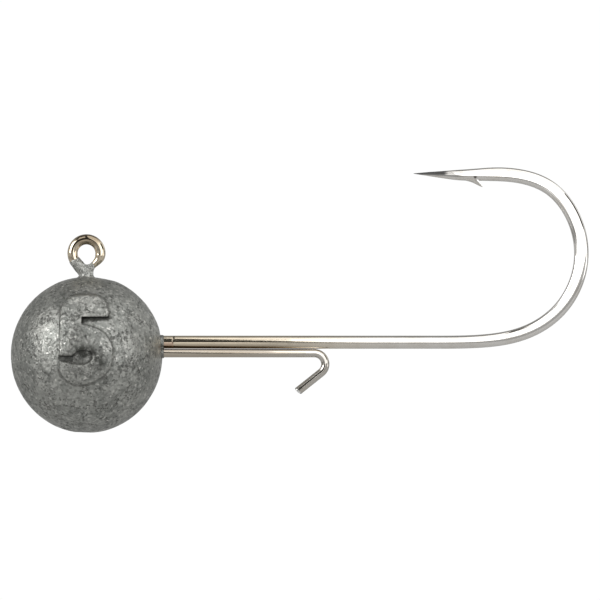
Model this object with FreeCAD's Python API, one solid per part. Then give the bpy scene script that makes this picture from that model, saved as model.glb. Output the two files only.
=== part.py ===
import FreeCAD, Part
import os
import math

# Ball jig: a lead ball cast on a forged wire hook, with a bait keeper wire.
# Millimetres. Origin at the centre of the line-tie eye. +X runs along the
# shank towards the bend, +Z is up (the eye and the point are on the upper
# side), and the raised weight numeral faces -Y.

V = FreeCAD.Vector

# ---------------------------------------------------------------- dimensions
# cast ball
BALL_X, BALL_Z = 0.01, -6.299         # centre of the ball
BALL_A = 4.700                        # half width, along X and Y
BALL_C = 4.840                        # half height, along Z
NUM_FACE_R = 5.60                     # the numeral's face is part of a larger
NUM_FACE_Y = 0.77                     # sphere, so it is flatter than the ball
BOSS_X = 4.82                         # end of the lead fillet round both wires

# outline of the raised block numeral, X and Z from the ball's centre
NUMERAL = [
    (-1.483, -0.011), (-1.493, 2.443), (-1.447, 2.804), (-1.323, 3.114), (-1.147, 3.337), (-0.899, 3.517),
    (-0.579, 3.616), (-0.217, 3.647), (0.351, 3.657), (0.713, 3.590), (1.023, 3.435), (1.245, 3.192),
    (1.374, 2.882), (1.426, 2.546), (1.447, 2.381), (-0.191, 2.381), (-0.191, 1.874), (0.196, 1.797),
    (0.558, 1.709), (0.868, 1.575), (1.178, 1.358), (1.411, 1.099), (1.581, 0.815), (1.695, 0.479),
    (1.736, 0.118), (1.705, -0.244), (1.591, -0.606), (1.411, -0.941), (1.152, -1.226), (0.816, -1.458),
    (0.403, -1.649), (-0.062, -1.763), (-0.527, -1.742), (-0.914, -1.613), (-1.224, -1.381), (-1.431, -1.071),
    (-1.509, -0.709), (-1.483, -0.373), (-1.188, -0.430), (-0.759, -0.554), (-0.372, -0.616), (0.041, -0.616),
    (0.351, -0.476), (0.548, -0.244), (0.589, 0.014), (0.480, 0.247), (0.248, 0.350), (-0.217, 0.366),
    (-0.579, 0.221), (-0.759, -0.001),
]

# line-tie eye: the wire rises from the neck, leans to -X, goes round the ring
# and ends tapered against the +X side of the neck
EYE_R = 0.859                         # radius of the ring's centreline
EYE_WIRE_R = 0.326                    # wire radius in the eye and the neck
EYE_HOLE_R = 0.548                    # radius of the coined land in the hole
LEAN_DEG = 219.4                      # where the ring runs out into the leg
NECK_BLEND_R = 0.60                   # bend between the leaning leg and the neck
# tapered end of the ring: angle, radius of the centreline, wire radius
EYE_END = [(-6.0, 0.859, 0.326), (-18.0, 0.862, 0.306), (-30.0, 0.842, 0.266),
           (-42.0, 0.826, 0.232), (-52.0, 0.832, 0.210), (-63.0, 0.862, 0.185)]
FILM = 0.05                           # lead film that climbed the eye
# lead that fills the notch under the hole, X and Z
NECK_FILL = [(-0.42, -0.56), (-0.27, -0.585), (-0.09, -0.660), (0.06, -0.690),
             (0.22, -0.640), (0.36, -0.560), (0.52, -0.86), (0.44, -1.05),
             (0.40, -1.50), (-0.42, -1.50), (-0.60, -0.95)]

# hook
SHANK_Z = -5.512                      # axis of the shank
SHANK_R = 0.408                       # radius of the round shank
INNER_BEND_R = 1.50                   # bend inside the ball, neck to shank
BEND_X0 = 21.327                      # where the round shank ends
# half depths (in the plane of the bend) and half thicknesses along the bend,
# by the fraction of the curve's length
FORGE = [
    # u,     in-plane, out-of-plane
    (0.000, 0.408, 0.408),
    (0.060, 0.408, 0.407),
    (0.120, 0.411, 0.400),
    (0.200, 0.420, 0.384),
    (0.300, 0.436, 0.366),
    (0.400, 0.449, 0.356),
    (0.500, 0.453, 0.352),
    (0.600, 0.453, 0.352),
    (0.700, 0.448, 0.355),
    (0.790, 0.438, 0.358),
    (0.818, 0.422, 0.356),
    (0.842, 0.392, 0.350),
    (0.866, 0.366, 0.340),
    (0.890, 0.337, 0.320),
    (0.905, 0.308, 0.298),
    (0.920, 0.264, 0.258),
    (0.939, 0.207, 0.203),
    (0.963, 0.138, 0.135),
    (0.978, 0.086, 0.084),
    (0.990, 0.046, 0.045),
    (1.000, 0.014, 0.013),
]
# control points of the bend's centreline (clamped uniform cubic, X and Z)
BEND = [
    (21.327, -5.512), (22.278, -5.512), (24.150, -5.521), (27.006, -5.201),
    (29.505, -3.699), (30.845, -1.035), (30.606, 1.834), (28.935, 4.358),
    (26.043, 5.028), (23.246, 4.772), (21.300, 4.924), (20.290, 4.944),
]
# barb: a sliver raised from the inner side of the arm
BARB = [(22.90, 4.70), (23.30, 4.528), (23.59, 4.476), (23.905, 4.392),
        (24.18, 4.262), (24.38, 4.163), (24.577, 4.104), (24.225, 4.560),
        (24.115, 4.724), (23.60, 4.84)]
BARB_HALF_W = 0.17
NOTCH = [(24.105, 4.735), (24.36, 4.30), (24.38, 4.44)]

# bait keeper wire
KEEP_R = 0.260
KEEP_Z = -6.194
KEEP_X0, KEEP_X1 = 1.70, 14.13        # straight run, inside the ball to bend
KEEP_BEND_R = 0.676
KEEP_TURN = 141.5                     # degrees
KEEP_LEG = 1.90
KEEP_SWING = 1.47                      # degrees; the wire leaves the ball a little to the front
KEEP_FOOT_R, KEEP_FOOT_TURN, KEEP_FOOT_LEG = 0.70, 62.0, 0.70


# ------------------------------------------------------------------- helpers
def bspline(ctrl, u, deg=3):
    """Point on a clamped uniform B-spline."""
    n = len(ctrl)
    inner = n - deg
    knots = [0.0] * (deg + 1) + [i / inner for i in range(1, inner)] + [1.0] * (deg + 1)
    u = min(max(u, 0.0), 1.0 - 1e-12)
    k = deg
    while k < n - 1 and u >= knots[k + 1]:
        k += 1
    d = [list(ctrl[k - deg + j]) for j in range(deg + 1)]
    for r in range(1, deg + 1):
        for j in range(deg, r - 1, -1):
            i = k - deg + j
            a = (u - knots[i]) / (knots[i + deg - r + 1] - knots[i])
            d[j] = [(1 - a) * p + a * q for p, q in zip(d[j - 1], d[j])]
    return d[deg]


def table(rows, u, col):
    for a, b in zip(rows, rows[1:]):
        if u <= b[0]:
            t = (u - a[0]) / (b[0] - a[0])
            return a[col] + (b[col] - a[col]) * t
    return rows[-1][col]


def ellipse_wire(c, n, half_n, half_y):
    """Elliptical section at c; n lies in the XZ plane across the wire."""
    y = V(0, 1, 0)
    half_y = min(half_y, half_n * (1 - 1e-7))
    e = Part.Ellipse(c + n * half_n, c + y * half_y, c)
    return Part.Wire([e.toShape()])


def round_wire(path_edges, radius):
    """Round bar along straight runs joined by tangent arcs."""
    wire = Part.Wire(path_edges)
    e = wire.Edges[0]
    p = e.valueAt(e.FirstParameter)
    t = e.tangentAt(e.FirstParameter)
    ring = Part.Wire([Part.Circle(p, t, radius).toShape()])
    return wire.makePipeShell([ring], True, False)


def arc(cx, cz, r, a0, a1):
    """Arc in the XZ plane, angles in degrees from +X towards +Z."""
    def at(a):
        a = math.radians(a)
        return V(cx + r * math.cos(a), 0, cz + r * math.sin(a))
    return Part.Arc(at(a0), at((a0 + a1) / 2.0), at(a1)).toShape()


def prism(points, y0, y1):
    pts = [V(x, y0, z) for x, z in points]
    face = Part.Face(Part.makePolygon(pts + [pts[0]]))
    return face.extrude(V(0, y1 - y0, 0))


def one_solid(shape):
    s = shape.Solids
    if len(s) != 1:
        raise RuntimeError("expected one solid, got %d" % len(s))
    return s[0]


# ---------------------------------------------------------------------- hook
def make_hook():
    # ring and the leg that leans from it to the neck
    th = math.radians(LEAN_DEG)
    p0 = V(EYE_R * math.cos(th), 0, EYE_R * math.sin(th))
    d = V(-math.sin(th), 0, math.cos(th))
    t_neck = -p0.x / d.x
    corner = p0 + d * t_neck
    lean = math.degrees(math.atan2(d.x, -d.z))           # from the vertical
    back = NECK_BLEND_R * math.tan(math.radians(lean / 2.0))
    p1 = corner - d * back
    p2 = corner + V(0, 0, -back)
    z_top = SHANK_Z + INNER_BEND_R
    ccx, ccz = p2.x - NECK_BLEND_R, p2.z
    blend = arc(ccx, ccz, NECK_BLEND_R, 0.0, 90.0 - (90.0 - lean))
    leg = Part.LineSegment(p1, p0).toShape()
    neck = Part.LineSegment(V(0, 0, z_top), p2).toShape()
    ring = arc(0, 0, EYE_R, LEAN_DEG, EYE_END[0][0])
    eye = round_wire([neck, blend, leg, ring], EYE_WIRE_R)
    ends = []
    for a, rc, rw in EYE_END:
        a = math.radians(a)
        ends.append(Part.Wire([Part.Circle(V(rc * math.cos(a), 0, rc * math.sin(a)),
                                           V(math.sin(a), 0, -math.cos(a)), rw).toShape()]))
    tail = Part.makeLoft(ends, True, False)

    # bend inside the ball, thickening from the neck to the shank
    cx, cz = INNER_BEND_R, z_top
    rings = []
    steps = 8
    for i in range(steps + 1):
        t = i / steps
        a = math.radians(180.0 + 90.0 * t)
        r = EYE_WIRE_R + (SHANK_R - EYE_WIRE_R) * t
        p = V(cx + INNER_BEND_R * math.cos(a), 0, cz + INNER_BEND_R * math.sin(a))
        n = V(-math.sin(a), 0, math.cos(a))
        rings.append(Part.Wire([Part.Circle(p, n, r).toShape()]))
    inner = Part.makeLoft(rings, True, False)

    shank = Part.makeCylinder(SHANK_R, BEND_X0 - cx, V(cx, 0, SHANK_Z), V(1, 0, 0))

    # forged bend, arm and point
    us = [0.0, 0.02, 0.05, 0.08, 0.12, 0.16, 0.20, 0.24, 0.28, 0.32, 0.36, 0.40,
          0.44, 0.48, 0.52, 0.56, 0.60, 0.64, 0.68, 0.72, 0.76, 0.80, 0.835,
          0.865, 0.89, 0.915, 0.945, 0.975, 1.0]
    sections = []
    for u in us:
        x, z = bspline(BEND, u)
        xa, za = bspline(BEND, u - 1e-4) if u > 0 else (x, z)
        xb, zb = bspline(BEND, u + 1e-4) if u < 1 else (x, z)
        t = V(xb - xa, 0, zb - za)
        t.normalize()
        if u == 0.0:
            t = V(1, 0, 0)
        n = V(-t.z, 0, t.x)
        sections.append(ellipse_wire(V(x, 0, z), n,
                                     table(FORGE, u, 1), table(FORGE, u, 2)))
    bend = Part.makeLoft(sections, True, False)
    barb = prism(BARB, -BARB_HALF_W, BARB_HALF_W)
    notch = prism(NOTCH, -1.0, 1.0)
    bend = bend.cut(notch).fuse(barb)

    hook = eye.fuse([tail, inner, shank, bend])
    hole = Part.makeCylinder(EYE_HOLE_R, 4.0, V(0, -2, 0), V(0, 1, 0))
    hook = hook.cut(hole)
    return one_solid(hook), [eye, tail, inner, shank]


# --------------------------------------------------------------- keeper wire
def make_keeper():
    z = KEEP_Z
    # small foot that anchors the wire in the casting
    foot_a = 90.0 + KEEP_FOOT_TURN
    fx, fz = KEEP_X0, z - KEEP_FOOT_R
    ea = math.radians(foot_a)
    ex, ez = fx + KEEP_FOOT_R * math.cos(ea), fz + KEEP_FOOT_R * math.sin(ea)
    dx, dz = -math.sin(ea), math.cos(ea)
    foot_leg = Part.LineSegment(V(ex + dx * KEEP_FOOT_LEG, 0, ez + dz * KEEP_FOOT_LEG),
                                V(ex, 0, ez)).toShape()
    foot = arc(fx, fz, KEEP_FOOT_R, foot_a, 90.0)
    run = Part.LineSegment(V(KEEP_X0, 0, z), V(KEEP_X1, 0, z)).toShape()
    bx, bz = KEEP_X1, z - KEEP_BEND_R
    end = 90.0 - KEEP_TURN
    bend = arc(bx, bz, KEEP_BEND_R, 90.0, end)
    a = math.radians(end)
    px, pz = bx + KEEP_BEND_R * math.cos(a), bz + KEEP_BEND_R * math.sin(a)
    tx, tz = math.sin(a), -math.cos(a)
    leg = Part.LineSegment(V(px, 0, pz),
                           V(px + tx * KEEP_LEG, 0, pz + tz * KEEP_LEG)).toShape()
    wire = one_solid(round_wire([foot_leg, foot, run, bend, leg], KEEP_R))
    wire.rotate(V(KEEP_X1, 0, 0), V(0, 0, 1), KEEP_SWING)
    return wire


# ----------------------------------------------------------------- lead head
def ellipsoid(a, c):
    """Solid of revolution about Z, centred on the ball."""
    top, bot = V(BALL_X, 0, BALL_Z + c), V(BALL_X, 0, BALL_Z - c)
    if c >= a:
        e = Part.Ellipse(top, V(BALL_X + a, 0, BALL_Z), V(BALL_X, 0, BALL_Z))
    else:
        e = Part.Ellipse(V(BALL_X + a, 0, BALL_Z), top, V(BALL_X, 0, BALL_Z))
    half = Part.Arc(top, e.value(e.parameter(V(BALL_X + a, 0, BALL_Z))), bot)
    # trim the full ellipse to its +X half
    pa, pb = e.parameter(bot), e.parameter(top)
    for lo, hi in ((pa, pb), (pb, pa)):
        t = Part.ArcOfEllipse(e, lo, hi)
        mid = t.value((t.FirstParameter + t.LastParameter) / 2.0)
        if mid.x > BALL_X:
            half = t
            break
    line = Part.LineSegment(top, bot).toShape()
    face = Part.Face(Part.Wire([half.toShape(), line]))
    return face.revolve(V(BALL_X, 0, BALL_Z), V(0, 0, 1), 360)


def make_head(wires):
    ball = ellipsoid(BALL_A, BALL_C)
    proud = Part.makeSphere(NUM_FACE_R, V(BALL_X, NUM_FACE_Y, BALL_Z))
    outline = [(BALL_X + x, BALL_Z + z) for x, z in NUMERAL]
    figure = prism(outline, -(BALL_A + 2.0), -2.0).common(proud)

    # lead that climbed the neck, wetted the leaning leg and filled the notch
    # of the eye where both ends of the ring meet
    zt = BALL_Z + BALL_C
    collar = Part.makeCylinder(0.435, 0.85, V(-0.01, 0, zt - 0.50), V(0, 0, 1))
    skirt = Part.makeCone(0.80, 0.44, 0.36, V(-0.01, 0, zt - 0.24), V(0, 0, 1))
    th = math.radians(LEAN_DEG)
    p0 = V(EYE_R * math.cos(th), 0, EYE_R * math.sin(th))
    d = V(-math.sin(th), 0, math.cos(th))
    leg = Part.makeCylinder(EYE_WIRE_R + FILM, 0.85, p0, d)
    cap = round_wire([arc(0, 0, EYE_R, LEAN_DEG, 208.0)], EYE_WIRE_R + FILM)
    web = prism(NECK_FILL, -0.26, 0.26)

    # fillet of lead where both wires leave the ball
    boss = Part.makeCylinder(SHANK_R + 0.05, 1.0, V(BOSS_X - 1.0, 0, SHANK_Z), V(1, 0, 0))
    boss2 = Part.makeCylinder(KEEP_R + 0.09, 1.0, V(BOSS_X - 1.0, 0, KEEP_Z), V(1, 0, 0))
    boss2.rotate(V(KEEP_X1, 0, 0), V(0, 0, 1), KEEP_SWING)

    body = ball.fuse([figure, collar, skirt, leg, cap, web, boss, boss2])
    # the cavity of both cast-in wires; the lead doesn't reach the line where
    # the keeper lies against the shank
    gap = Part.makeBox(BOSS_X - KEEP_X0 + 1.0, 0.16, SHANK_Z - KEEP_Z,
                       V(KEEP_X0, -0.20, KEEP_Z))
    hole = Part.makeCylinder(EYE_HOLE_R + 0.03, 4.0, V(0, -2, 0), V(0, 1, 0))
    body = body.cut(wires + [gap, hole])
    solids = sorted(body.Solids, key=lambda s: -s.Volume)
    for s in solids:
        print("lead piece", round(s.Volume, 4))
    return solids[0]


os.makedirs("parts", exist_ok=True)
hook, wires = make_hook()
keeper = make_keeper()
head = make_head(wires + [keeper])
for name, shape in (("lead_head", head), ("hook", hook), ("keeper_wire", keeper)):
    bb = shape.BoundBox
    print("%-12s valid %s closed %s vol %.3f  x %.3f..%.3f y %.3f..%.3f z %.3f..%.3f faces %d" % (
        name, shape.isValid(), shape.isClosed(), shape.Volume, bb.XMin, bb.XMax,
        bb.YMin, bb.YMax, bb.ZMin, bb.ZMax, len(shape.Faces)))
    shape.exportStep(os.path.join("parts", name + ".step"))
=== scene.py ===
import bpy
import bmesh
import math
import numpy as np
from mathutils import Matrix, Quaternion, Vector


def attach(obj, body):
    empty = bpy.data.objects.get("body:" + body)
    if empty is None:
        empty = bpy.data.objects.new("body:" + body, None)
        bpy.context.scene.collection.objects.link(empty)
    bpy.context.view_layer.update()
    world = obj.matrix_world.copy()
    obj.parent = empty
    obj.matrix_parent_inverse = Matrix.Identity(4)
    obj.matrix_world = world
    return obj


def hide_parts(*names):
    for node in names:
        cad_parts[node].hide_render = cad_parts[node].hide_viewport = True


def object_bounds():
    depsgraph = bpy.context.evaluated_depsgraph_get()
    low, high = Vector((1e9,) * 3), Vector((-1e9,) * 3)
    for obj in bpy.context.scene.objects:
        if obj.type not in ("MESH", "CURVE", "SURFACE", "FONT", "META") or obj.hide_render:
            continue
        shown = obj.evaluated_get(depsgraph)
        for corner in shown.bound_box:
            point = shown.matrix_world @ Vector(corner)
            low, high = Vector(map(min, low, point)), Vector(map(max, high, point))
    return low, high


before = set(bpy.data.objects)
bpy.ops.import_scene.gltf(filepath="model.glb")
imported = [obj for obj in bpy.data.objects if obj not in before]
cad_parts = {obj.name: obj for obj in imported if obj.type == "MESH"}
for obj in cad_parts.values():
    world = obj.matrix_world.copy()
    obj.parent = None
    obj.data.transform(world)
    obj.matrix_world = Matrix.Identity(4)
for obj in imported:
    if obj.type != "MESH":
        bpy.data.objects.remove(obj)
cad_lo, cad_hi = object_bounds()
MM = 0.001

# ------------------------------------------------------------------ the shape
# Sizes in millimetres, the same as the CAD model's.
BALL_X, BALL_Z, BALL_A, BALL_C = 0.01, -6.299, 4.700, 4.840
NUM_FACE_R, NUM_FACE_Y = 5.60, 0.77
NUMERAL = [
    (-1.483, -0.011), (-1.493, 2.443), (-1.447, 2.804), (-1.323, 3.114), (-1.147, 3.337), (-0.899, 3.517),
    (-0.579, 3.616), (-0.217, 3.647), (0.351, 3.657), (0.713, 3.590), (1.023, 3.435), (1.245, 3.192),
    (1.374, 2.882), (1.426, 2.546), (1.447, 2.381), (-0.191, 2.381), (-0.191, 1.874), (0.196, 1.797),
    (0.558, 1.709), (0.868, 1.575), (1.178, 1.358), (1.411, 1.099), (1.581, 0.815), (1.695, 0.479),
    (1.736, 0.118), (1.705, -0.244), (1.591, -0.606), (1.411, -0.941), (1.152, -1.226), (0.816, -1.458),
    (0.403, -1.649), (-0.062, -1.763), (-0.527, -1.742), (-0.914, -1.613), (-1.224, -1.381), (-1.431, -1.071),
    (-1.509, -0.709), (-1.483, -0.373), (-1.188, -0.430), (-0.759, -0.554), (-0.372, -0.616), (0.041, -0.616),
    (0.351, -0.476), (0.548, -0.244), (0.589, 0.014), (0.480, 0.247), (0.248, 0.350), (-0.217, 0.366),
    (-0.579, 0.221), (-0.759, -0.001),
]
NUMERAL_SHARP = {0, 14, 15, 16, 37, 49}

EYE_R, EYE_WIRE_R, EYE_HOLE_R = 0.859, 0.326, 0.548
LEAN_DEG, NECK_BLEND_R = 219.4, 0.60
EYE_END = [(-6.0, 0.859, 0.326), (-18.0, 0.862, 0.306), (-30.0, 0.842, 0.266),
           (-42.0, 0.826, 0.232), (-52.0, 0.832, 0.210), (-63.0, 0.862, 0.185)]
SHANK_Z, SHANK_R, INNER_BEND_R, BEND_X0 = -5.512, 0.408, 1.50, 21.327
FORGE = [
    (0.000, 0.408, 0.408), (0.060, 0.408, 0.407), (0.120, 0.411, 0.400), (0.200, 0.420, 0.384),
    (0.300, 0.436, 0.366), (0.400, 0.449, 0.356), (0.500, 0.453, 0.352), (0.600, 0.453, 0.352),
    (0.700, 0.448, 0.355), (0.790, 0.438, 0.358), (0.818, 0.422, 0.356), (0.842, 0.392, 0.350),
    (0.866, 0.366, 0.340), (0.890, 0.337, 0.320), (0.905, 0.308, 0.298), (0.920, 0.264, 0.258),
    (0.939, 0.207, 0.203), (0.963, 0.138, 0.135), (0.978, 0.086, 0.084), (0.990, 0.046, 0.045),
    (1.000, 0.014, 0.013),
]
BEND = [
    (21.327, -5.512), (22.278, -5.512), (24.150, -5.521), (27.006, -5.201),
    (29.505, -3.699), (30.845, -1.035), (30.606, 1.834), (28.935, 4.358),
    (26.043, 5.028), (23.246, 4.772), (21.300, 4.924), (20.290, 4.944),
]
KEEP_R, KEEP_Z, KEEP_X0, KEEP_X1 = 0.260, -6.194, 1.70, 14.13
KEEP_BEND_R, KEEP_TURN, KEEP_LEG = 0.676, 141.5, 1.90
KEEP_FOOT_R, KEEP_FOOT_TURN, KEEP_FOOT_LEG = 0.70, 62.0, 0.70
KEEP_SWING = 1.85

rng = np.random.default_rng(20)


# ----------------------------------------------------------------- mesh helps
def smooth(t):
    t = np.clip(t, 0.0, 1.0)
    return t * t * (3.0 - 2.0 * t)


class Noise:
    """Seeded gradient noise on an array of points."""

    def __init__(self, seed):
        r = np.random.default_rng(seed)
        self.perm = np.tile(r.permutation(256), 3)
        g = r.normal(size=(256, 3))
        self.grad = g / np.linalg.norm(g, axis=1, keepdims=True)

    def __call__(self, p, scale):
        q = np.asarray(p, float) / scale + 37.2
        i = np.floor(q).astype(int)
        f = q - i
        i &= 255
        u = f * f * f * (f * (f * 6 - 15) + 10)
        out = 0.0
        for dx in (0, 1):
            for dy in (0, 1):
                for dz in (0, 1):
                    h = self.perm[self.perm[self.perm[(i[:, 0] + dx) & 255] + ((i[:, 1] + dy) & 255)]
                                  + ((i[:, 2] + dz) & 255)]
                    d = f - np.array([dx, dy, dz])
                    w = ((u[:, 0] if dx else 1 - u[:, 0]) * (u[:, 1] if dy else 1 - u[:, 1])
                         * (u[:, 2] if dz else 1 - u[:, 2]))
                    out = out + w * (self.grad[h] * d).sum(1)
        return out * 1.6


def new_object(name, verts_mm, faces, attrs=None, angle=50.0):
    mesh = bpy.data.meshes.new(name)
    mesh.from_pydata((np.asarray(verts_mm) * MM).tolist(), [], faces)
    mesh.validate()
    if attrs:
        for key, values in attrs.items():
            a = mesh.attributes.new(key, "FLOAT", "POINT")
            a.data.foreach_set("value", np.asarray(values, np.float32))
    mesh.update()
    obj = bpy.data.objects.new(name, mesh)
    bpy.context.scene.collection.objects.link(obj)
    shade(obj, angle)
    return obj


def shade(obj, angle=50.0):
    for p in obj.data.polygons:
        p.use_smooth = True
    bm = bmesh.new()
    bm.from_mesh(obj.data)
    bmesh.ops.recalc_face_normals(bm, faces=bm.faces)
    lim = math.radians(angle)
    for e in bm.edges:
        if len(e.link_faces) == 2:
            e.smooth = e.calc_face_angle(0.0) < lim
    bm.to_mesh(obj.data)
    bm.free()


def apply_modifiers(obj):
    dg = bpy.context.evaluated_depsgraph_get()
    mesh = bpy.data.meshes.new_from_object(obj.evaluated_get(dg))
    old = obj.data
    obj.modifiers.clear()
    obj.data = mesh
    bpy.data.meshes.remove(old)


def boolean(obj, tool, how):
    m = obj.modifiers.new("b", "BOOLEAN")
    m.operation = how
    m.object = tool
    m.solver = "MANIFOLD"
    apply_modifiers(obj)
    bpy.data.objects.remove(tool)


def table(rows, u, col):
    return np.interp(u, [r[0] for r in rows], [r[col] for r in rows])


def bspline(ctrl, us, deg=3):
    n = len(ctrl)
    inner = n - deg
    knots = [0.0] * (deg + 1) + [i / inner for i in range(1, inner)] + [1.0] * (deg + 1)
    out = []
    for u in us:
        u = min(max(u, 0.0), 1.0 - 1e-12)
        k = deg
        while k < n - 1 and u >= knots[k + 1]:
            k += 1
        d = [np.array(ctrl[k - deg + j], float) for j in range(deg + 1)]
        for r in range(1, deg + 1):
            for j in range(deg, r - 1, -1):
                i = k - deg + j
                a = (u - knots[i]) / (knots[i + deg - r + 1] - knots[i])
                d[j] = (1 - a) * d[j - 1] + a * d[j]
        out.append(d[deg])
    return np.array(out)


def arc(cx, cz, r, a0, a1, step):
    n = max(2, int(abs(math.radians(a1 - a0)) * r / step))
    a = np.radians(np.linspace(a0, a1, n + 1))
    return np.c_[cx + r * np.cos(a), cz + r * np.sin(a)]


def line(p, q, step):
    p, q = np.array(p, float), np.array(q, float)
    n = max(1, int(np.linalg.norm(q - p) / step))
    t = np.linspace(0, 1, n + 1)[:, None]
    return p + (q - p) * t


def tube(path, half_n, half_y, power, segs, wobble=None, cap0="round", cap1="round"):
    """Skin a planar path (X and Z) with superelliptic rings. Returns vertices,
    faces, and each vertex's distance along the path and angle."""
    path = np.asarray(path, float)
    t = np.gradient(path, axis=0)
    t /= np.linalg.norm(t, axis=1, keepdims=True)
    n = np.c_[-t[:, 1], t[:, 0]]
    s = np.r_[0, np.cumsum(np.linalg.norm(np.diff(path, axis=0), axis=1))]
    half_n = np.broadcast_to(half_n, s.shape).astype(float)
    half_y = np.broadcast_to(half_y, s.shape).astype(float)
    power = np.broadcast_to(power, s.shape).astype(float)
    centres, hn, hy, pw, tt, nn, ss = [], [], [], [], [], [], []

    def add(c, a, b, p, ti, ni, si):
        centres.append(c); hn.append(a); hy.append(b); pw.append(p)
        tt.append(ti); nn.append(ni); ss.append(si)

    def cap(i, sign, kind):
        rows = []
        depth = {"round": 1.0, "flat": 0.10, "blunt": 0.45}[kind]
        steps = 7 if kind != "flat" else 3
        for k in range(steps):
            a = (k + 0.35) / steps * math.pi / 2
            f, g = math.sin(a), math.cos(a)
            reach = depth * min(half_n[i], half_y[i])
            scale = f if kind != "flat" else 1 - 0.10 * g ** 2 * 1.0
            back = g * reach
            rows.append((path[i] + sign * t[i] * (back - 0.0), half_n[i] * scale, half_y[i] * scale,
                         power[i], t[i], n[i], s[i] + sign * back))
        return rows

    for row in cap(0, -1, cap0):
        add(*row)
    for i in range(len(path)):
        add(path[i], half_n[i], half_y[i], power[i], t[i], n[i], s[i])
    for row in reversed(cap(len(path) - 1, 1, cap1)):
        add(*row)
    centres, tt, nn = map(np.array, (centres, tt, nn))
    hn, hy, pw, ss = map(np.array, (hn, hy, pw, ss))
    ang = np.linspace(0, 2 * math.pi, segs, endpoint=False)
    ca, sa = np.cos(ang), np.sin(ang)
    e = 2.0 / pw[:, None]
    on = np.sign(ca) * np.abs(ca) ** e * hn[:, None]
    oy = np.sign(sa) * np.abs(sa) ** e * hy[:, None]
    if wobble is not None:
        w = wobble(ss[:, None] + 0 * ang[None, :], ang[None, :] + 0 * ss[:, None])
        on, oy = on * (1 + w), oy * (1 + w)
    x = centres[:, 0:1] + nn[:, 0:1] * on
    z = centres[:, 1:2] + nn[:, 1:2] * on
    verts = np.stack([x, oy, z], -1).reshape(-1, 3)
    m = len(centres)
    faces = []
    for i in range(m - 1):
        a, b = i * segs, (i + 1) * segs
        for j in range(segs):
            k = (j + 1) % segs
            faces.append((a + j, a + k, b + k, b + j))
    c0, c1 = len(verts), len(verts) + 1
    first = verts[:segs].mean(0)
    last = verts[-segs:].mean(0)
    verts = np.vstack([verts, first, last])
    for j in range(segs):
        k = (j + 1) % segs
        faces.append((c0, k, j))
        faces.append((c1, (m - 1) * segs + j, (m - 1) * segs + k))
    sv = np.r_[np.repeat(ss, segs), ss[0], ss[-1]]
    av = np.r_[np.tile(ang, m), 0, 0]
    return verts, faces, sv, av


# --------------------------------------------------------------- hook as wire
th = math.radians(LEAN_DEG)
p0 = np.array([EYE_R * math.cos(th), EYE_R * math.sin(th)])
d0 = np.array([-math.sin(th), math.cos(th)])
corner = p0 + d0 * (-p0[0] / d0[0])
lean = math.degrees(math.atan2(d0[0], -d0[1]))
back = NECK_BLEND_R * math.tan(math.radians(lean / 2))
p1, p2 = corner - d0 * back, corner - np.array([0, back])
z_top = SHANK_Z + INNER_BEND_R

tail_a = np.arange(-63.0, -6.0, 2.4)
tail_r = np.interp(-tail_a, [-r[0] for r in EYE_END], [r[1] for r in EYE_END])
tail_w = np.interp(-tail_a, [-r[0] for r in EYE_END], [r[2] for r in EYE_END])
tail = np.c_[tail_r * np.cos(np.radians(tail_a)), tail_r * np.sin(np.radians(tail_a))]
ring = arc(0, 0, EYE_R, -6.0, LEAN_DEG, 0.042)
leg = line(p0, p1, 0.05)[1:]
blend = arc(p2[0] - NECK_BLEND_R, p2[1], NECK_BLEND_R, lean, 0.0, 0.05)[1:]
neck = line(p2, (0, z_top), 0.09)[1:]
inner = arc(INNER_BEND_R, z_top, INNER_BEND_R, 180, 270, 0.08)[1:]
shank = np.vstack([line((INNER_BEND_R, SHANK_Z), (5.2, SHANK_Z), 0.085)[1:], line((5.2, SHANK_Z), (5.7, SHANK_Z), 0.012)[1:],
                   line((5.7, SHANK_Z), (BEND_X0, SHANK_Z), 0.085)[1:]])
ub = np.r_[np.linspace(0, 0.88, 380), np.linspace(0.88, 1.0, 90)[1:]][1:]
bend = bspline(BEND, ub)
path = np.vstack([tail, ring, leg, blend, neck, inner, shank, bend])
n_in = np.linspace(0, 1, len(inner))
hn = np.r_[tail_w, np.full(len(ring) + len(leg) + len(blend) + len(neck), EYE_WIRE_R),
           EYE_WIRE_R + (SHANK_R - EYE_WIRE_R) * n_in, np.full(len(shank), SHANK_R), table(FORGE, ub, 1)]
hy = np.r_[tail_w * 1.02, np.full(len(ring) + len(leg) + len(blend) + len(neck), EYE_WIRE_R),
           EYE_WIRE_R + (SHANK_R - EYE_WIRE_R) * n_in, np.full(len(shank), SHANK_R), table(FORGE, ub, 2)]
k = np.ones(9) / 9
hs = len(path) - len(bend)
hn[hs + 4:-4] = np.convolve(hn, k, "same")[hs + 4:-4]
hy[hs + 4:-4] = np.convolve(hy, k, "same")[hs + 4:-4]
pw = np.r_[np.full(len(path) - len(bend), 2.0),
           2.0 + 0.75 * smooth((ub - 0.05) / 0.2) * (1 - smooth((ub - 0.80) / 0.1))]
wire_noise = Noise(3)


def hook_wobble(s, a):
    p = np.stack([s.ravel() / 4.0, np.cos(a.ravel()) * 0.35, np.sin(a.ravel()) * 0.35], -1)
    return (wire_noise(p, 0.8) * 0.003 - 0.0035).reshape(s.shape)


verts, faces, sv, av = tube(path, hn, hy, pw, 48, hook_wobble, cap0="blunt", cap1="round")
# the hole's coined land
r_h = np.hypot(verts[:, 0], verts[:, 2])
inside = (r_h < EYE_HOLE_R) & (np.abs(verts[:, 1]) < 0.2) & (sv < 5.0)
verts[inside, 0] *= EYE_HOLE_R / r_h[inside]
verts[inside, 2] *= EYE_HOLE_R / r_h[inside]
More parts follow.
